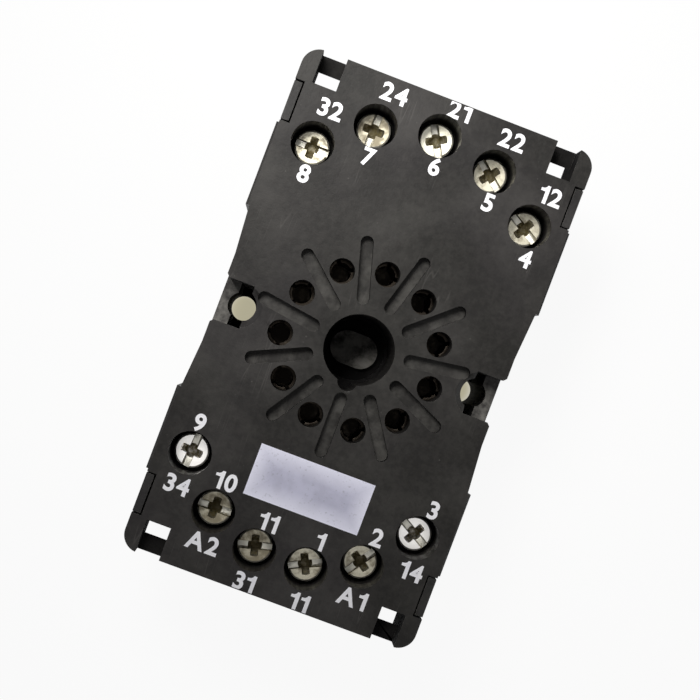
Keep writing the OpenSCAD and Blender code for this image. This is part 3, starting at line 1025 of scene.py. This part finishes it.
@dataclass
class FacePrint:
    """White print on the front face: terminal numbers and a field to write in."""

    effects: Effects
    height: float = 2.2
    ink: float = 0.012
    weight: float = 0.03
    gap: float = 0.12
    field_size: tuple[float, float] = (14.35, 6.3)
    field_at: tuple[float, float] = (0.33, -17.45)
    field_borders: tuple[float, float] = (0.12, 2.2)
    field_rim: float = 0.5
    well: float = 2.6
    margin: float = 0.12
    legends: dict[int, Legend] = field(default_factory=lambda: {
        1: Legend("11", (0.5, 3.65), (0.65, -3.95)),
        2: Legend("A1", (0.5, 3.8), (0.25, -3.9)),
        3: Legend("14", (0.65, 3.7), (0.75, -4.0)),
        4: Legend("12", (0.9, -3.75), (1.1, 4.2)),
        5: Legend("22", (0.6, -3.7), (0.7, 4.2)),
        6: Legend("21", (0.7, -3.6), (1.2, 3.6)),
        7: Legend("24", (0.5, -3.75), (0.8, 4.3)),
        8: Legend("32", (0.3, -3.72), (0.6, 4.45)),
        9: Legend("34", (-0.15, 3.75), (-0.05, -4.0)),
        10: Legend("A2", (0.15, 3.8), (0.15, -3.9)),
        11: Legend("31", (0.45, 3.65), (0.25, -3.95)),
    })

    def glyph(self, character: str) -> Workpiece:
        """Draws one character, flat, one unit high and with its lower left corner at the origin.

        Args:
            character: A digit or a capital.

        Returns:
            The character.
        """
        if character == "9":
            work = self.glyph("6")
            wide = max(v.co.x for v in work.bm.verts)
            half_turn = Matrix.Rotation(math.pi, 3, "Z")
            bmesh.ops.rotate(work.bm, cent=(wide / 2, 0.5, 0), matrix=half_turn, verts=work.bm.verts)
            return work
        work = Workpiece()
        bm = work.bm
        if character == "1":
            corners_of_one = (
                (0.26, 0), (0.47, 0), (0.47, 1), (0.31, 1), (0.26, 0.9),
                (0.16, 0.83), (0, 0.81), (0, 0.66), (0.26, 0.66),
            )
            bm.faces.new([bm.verts.new((*corner, 0)) for corner in corners_of_one])
            return work
        curve = bpy.data.curves.new("mark", "FONT")
        curve.body = character
        curve.offset = self.weight
        curve.resolution_u = 5
        holder = bpy.data.objects.new("mark", curve)
        bpy.context.scene.collection.objects.link(holder)
        bpy.context.view_layer.update()
        graph = bpy.context.evaluated_depsgraph_get()
        mesh = bpy.data.meshes.new_from_object(holder.evaluated_get(graph))
        bm.from_mesh(mesh)
        bmesh.ops.remove_doubles(bm, verts=bm.verts, dist=1e-4)
        low = Vector((min(v.co.x for v in bm.verts), min(v.co.y for v in bm.verts), 0))
        tall = max(v.co.y for v in bm.verts) - low.y
        work.move(-low)
        work.stretch((1 / tall,) * 3)
        bpy.data.objects.remove(holder)
        bpy.data.curves.remove(curve)
        bpy.data.meshes.remove(mesh)
        return work

    def characters(self, text: str, centre: Vector) -> Workpiece:
        """Sets one printed mark in the face's plane.

        Args:
            text: The characters.
            centre: Middle of the mark.

        Returns:
            The mark, flat, in its place.
        """
        work, wide = Workpiece(), 0.0
        for character in text:
            glyph = self.glyph(character)
            glyph.move((wide, 0, 0))
            wide = max(v.co.x for v in glyph.bm.verts) + self.gap
            work.take(glyph)
        work.move(((self.gap - wide) / 2, -0.5, 0))
        work.stretch((self.height, self.height, 1))
        work.move(centre)
        return work

    def wells(self) -> bpy.types.Object:
        """Makes the plugs that keep print out of the screw wells.

        Returns:
            An object with one plug a well, to be removed after use.
        """
        work = Workpiece()
        for k in TERMINALS:
            spot = middle(f"screw_{k}")
            bmesh.ops.create_cone(
                work.bm, cap_ends=True, segments=64, radius1=self.well, radius2=self.well, depth=2,
                matrix=Matrix.Translation((spot.x, spot.y, top("cover"))),
            )
        return work.finish("well_plugs", bpy.data.materials.new("plug"))

    def build(self) -> None:
        """Builds the numbers and the field."""
        face = top("cover")
        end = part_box("cover")[1].y / MM
        numbers = Workpiece()
        for k, legend in self.legends.items():
            screw = middle(f"screw_{k}")
            for text, (dx, dy) in ((str(k), legend.inner_at), (legend.outer, legend.outer_at)):
                numbers.take(self.characters(text, Vector((screw.x + dx, screw.y + dy, face))))
        for way in (1, -1):
            numbers.cut(Vector((0, way * (end - self.margin), 0)), Vector((0, way, 0)), fill=False)
        bmesh.ops.recalc_face_normals(numbers.bm, faces=numbers.bm.faces)
        white = PrintInk(
            "white_ink", (0.95, 0.95, 0.99, 1), self.effects, shade=(0.88, 0.88, 0.94, 1), grime=0.12
        ).material()
        piece = numbers.finish("terminal_numbers", white, smooth=20)
        self.thicken(piece)
        self.trim(piece)
        settle(piece, "housing", Slot.COVER)
        self.writing_field(face)

    def thicken(self, piece: bpy.types.Object) -> None:
        """Gives flat print the thickness of its ink."""
        piece.modifiers.clear()
        solid = piece.modifiers.new("ink", "SOLIDIFY")
        solid.thickness = 2 * self.ink * MM
        solid.offset = 0
        self.apply(piece)

    def trim(self, piece: bpy.types.Object) -> None:
        """Takes the print off wherever a screw well opens."""
        plugs = self.wells()
        cutter = piece.modifiers.new("wells", "BOOLEAN")
        cutter.operation, cutter.object, cutter.solver = "DIFFERENCE", plugs, "EXACT"
        self.apply(piece)
        bpy.data.objects.remove(plugs)

    def apply(self, piece: bpy.types.Object) -> None:
        """Makes a piece's modifiers part of its mesh."""
        graph = bpy.context.evaluated_depsgraph_get()
        graph.update()
        mesh = bpy.data.meshes.new_from_object(piece.evaluated_get(graph))
        mesh.shade_flat()
        piece.modifiers.clear()
        old, piece.data = piece.data, mesh
        bpy.data.meshes.remove(old)

    def writing_field(self, face: float) -> None:
        """Builds the pale field that the installer writes on.

        Args:
            face: Level of the front face.
        """
        work = Workpiece()
        bm = work.bm
        bmesh.ops.create_grid(bm, x_segments=1, y_segments=1, size=0.5)
        work.stretch((*self.field_size, 1))
        for thickness in self.field_borders:
            inner = max(bm.faces, key=lambda face: face.calc_area())
            bmesh.ops.inset_region(
                bm, faces=[inner], thickness=thickness, use_boundary=True, use_even_offset=True
            )
        bmesh.ops.solidify(bm, geom=bm.faces[:], thickness=2 * self.ink)
        wide, tall = (side / 2 - self.field_rim for side in self.field_size)
        work.fade("rim", lambda spot: abs(spot.x) > wide or abs(spot.y) > tall)
        work.move((*self.field_at, face + self.ink))
        bmesh.ops.recalc_face_normals(bm, faces=bm.faces)
        paper = PrintInk(
            "writing_field", (0.52, 0.52, 0.655, 1), self.effects,
            shade=(0.45, 0.45, 0.57, 1), grime=0.35, roughness=0.6,
        ).material()
        piece = work.finish("writing_field", paper, smooth=20)
        settle(piece, "housing", Slot.COVER)


# --- studio


@dataclass
class Studio:
    """White table, key lamp up to the left, pale surroundings and the camera.

    The lamp is small and close, with a narrowed beam. The table isn't plain: a cream disc of painted shadow
    is put on it under each panel hole, and shows through the hole.
    """

    key_power: float = 0.073
    key_size: float = 0.07
    key_at: tuple[float, float, float] = (-0.062, 0.076, 0.175)
    key_aim: tuple[float, float, float] = (-0.012, 0.05, 0.02)
    key_spread: float = 65.0
    fill: float = 0.14
    ceiling: float = 0.18
    shine: float = 0.95
    glow: float = 0.93
    mount_x: float = 15.0
    disc_edge: tuple[float, float] = (1.2, 4.0)
    disc_glow: Colour = (0.6, 0.56, 0.4, 1)
    disc_paint: Colour = (0.3, 0.26, 0.17, 1)
    disc_shade: float = 0.75
    table_size: float = 3000.0
    table_drop: float = 0.02
    camera_at: tuple[float, float, float] = (-8.773, -2.435, 215.371)
    aim: tuple[float, float, float] = (1.020, -2.719, 26.0)
    roll: float = 20.70
    lens: float = 82.646
    shift: tuple[float, float] = (-0.0129, 0.0353)

    def build(self) -> None:
        """Sets up the floor, the lights, the world and the camera."""
        self.floor()
        self.lamp()
        self.world()
        self.camera()
        bpy.context.scene.view_settings.view_transform = "Standard"

    def seen(self, g: Graph) -> Socket:
        """Makes a mask of the rays that show the background: straight, reflected or let through."""
        path = g.add("LightPath").outputs
        direct = g.maths("MAXIMUM", path["Is Camera Ray"], path["Is Glossy Ray"])
        return g.maths("MAXIMUM", direct, path["Is Transmission Ray"])

    def floor(self) -> None:
        """Builds the table top, which glows to the camera, takes a shadow and has the two discs of painted
        shadow.
        """
        work = Workpiece()
        bmesh.ops.create_grid(work.bm, x_segments=4, y_segments=4, size=self.table_size)
        work.move((0, 0, -self.table_drop))
        material = bpy.data.materials.new("white_table")
        material.use_nodes = True
        g = Graph(material.node_tree)
        place = g.place()
        cloud = g.ramp(g.noise(place, 30.0), 0.4, 0.6)
        tone = g.mix(cloud, (0.8, 0.8, 0.8, 1), (0.78, 0.78, 0.78, 1))
        spot = g.add("SeparateXYZ", {0: place}).outputs
        mount = abs(middle("cover").x) + self.mount_x
        beside = g.minus(g.maths("ABSOLUTE", spot["X"]), mount * MM)
        apart = g.add("CombineXYZ", {0: beside, 1: spot["Y"]}).outputs[0]
        away = g.add("VectorMath", {0: apart}, operation="LENGTH").outputs["Value"]
        # Painted shadow: a darker cream disc under each panel hole, in both the glow and the paint.
        clear = g.ramp(away, *(edge * MM for edge in self.disc_edge))
        under = g.plus(self.disc_shade, g.times(clear, 1 - self.disc_shade))
        glow = g.add("Emission", {"Color": g.mix(clear, self.disc_glow, (1, 1, 1, 1)), "Strength": 1.0})
        paint = g.add("BsdfDiffuse", {"Color": g.mix(clear, self.disc_paint, tone)})
        share = g.times(g.times(self.seen(g), self.glow), under)
        mixed = g.add("MixShader", {0: share, 1: paint.outputs[0], 2: glow.outputs[0]})
        g.add("OutputMaterial", {"Surface": mixed.outputs[0]})
        table = work.finish("table", material)

    def lamp(self) -> None:
        """Hangs the key lamp, aimed past the upper edge of the socket."""
        light = bpy.data.lights.new("key", "AREA")
        light.shape = "SQUARE"
        light.size = self.key_size
        light.energy = self.key_power
        light.spread = math.radians(self.key_spread)
        light.color = (1.0, 0.985, 0.95)
        holder = bpy.data.objects.new("key", light)
        holder.location = self.key_at
        holder.rotation_mode = "QUATERNION"
        down = Vector(self.key_aim) - Vector(self.key_at)
        holder.rotation_quaternion = down.to_track_quat("-Z", "Y")
        holder.visible_camera = False
        bpy.context.scene.collection.objects.link(holder)

    def world(self) -> None:
        """Surrounds the table with a pale backdrop under a greyer ceiling."""
        world = bpy.data.worlds.new("studio")
        world.use_nodes = True
        g = Graph(world.node_tree)
        way = g.add("TexCoord").outputs["Generated"]
        height = g.add("SeparateXYZ", {0: way}).outputs["Z"]
        ceiling = g.ramp(height, 0.2, 0.45)
        seen = self.seen(g)
        walls = g.mix(seen, (self.fill,) * 3 + (1,), (1, 1, 1, 1))
        above = g.mix(seen, (self.ceiling, self.ceiling, self.ceiling * 1.03, 1), (self.shine,) * 3 + (1,))
        tone = g.mix(ceiling, walls, above)
        light = g.add("Background", {"Color": tone, "Strength": 1.0})
        g.add("OutputWorld", {"Surface": light.outputs[0]})
        bpy.context.scene.world = world

    def camera(self) -> None:
        """Places the camera over the face, turned a little about its own axis."""
        place, aim = Vector(self.camera_at) * MM, Vector(self.aim) * MM
        ahead = (aim - place).normalized()
        right = ahead.cross(Vector((0, 1, 0))).normalized()
        upward = right.cross(ahead)
        turn = Matrix((right, upward, -ahead)).transposed() @ Matrix.Rotation(
            math.radians(self.roll), 3, "Z"
        )
        lens = bpy.data.cameras.new("camera")
        lens.lens = self.lens
        lens.sensor_width = 36
        lens.shift_x, lens.shift_y = self.shift
        lens.clip_start = 0.01
        holder = bpy.data.objects.new("camera", lens)
        holder.matrix_world = Matrix.Translation(place) @ turn.to_4x4()
        bpy.context.scene.collection.objects.link(holder)
        bpy.context.scene.camera = holder


def main() -> None:
    """Builds the socket's looks and its studio."""
    logging.basicConfig(level=logging.INFO, format="%(name)s: %(message)s")
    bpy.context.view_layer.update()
    effects = Effects()
    Mouldings(effects).build()
    Metalwork(effects).build()
    TerminalScrews(effects).build()
    ClipSpring(effects).build()
    FacePrint(effects).build()
    Studio().build()


if __name__ == "__main__":
    main()
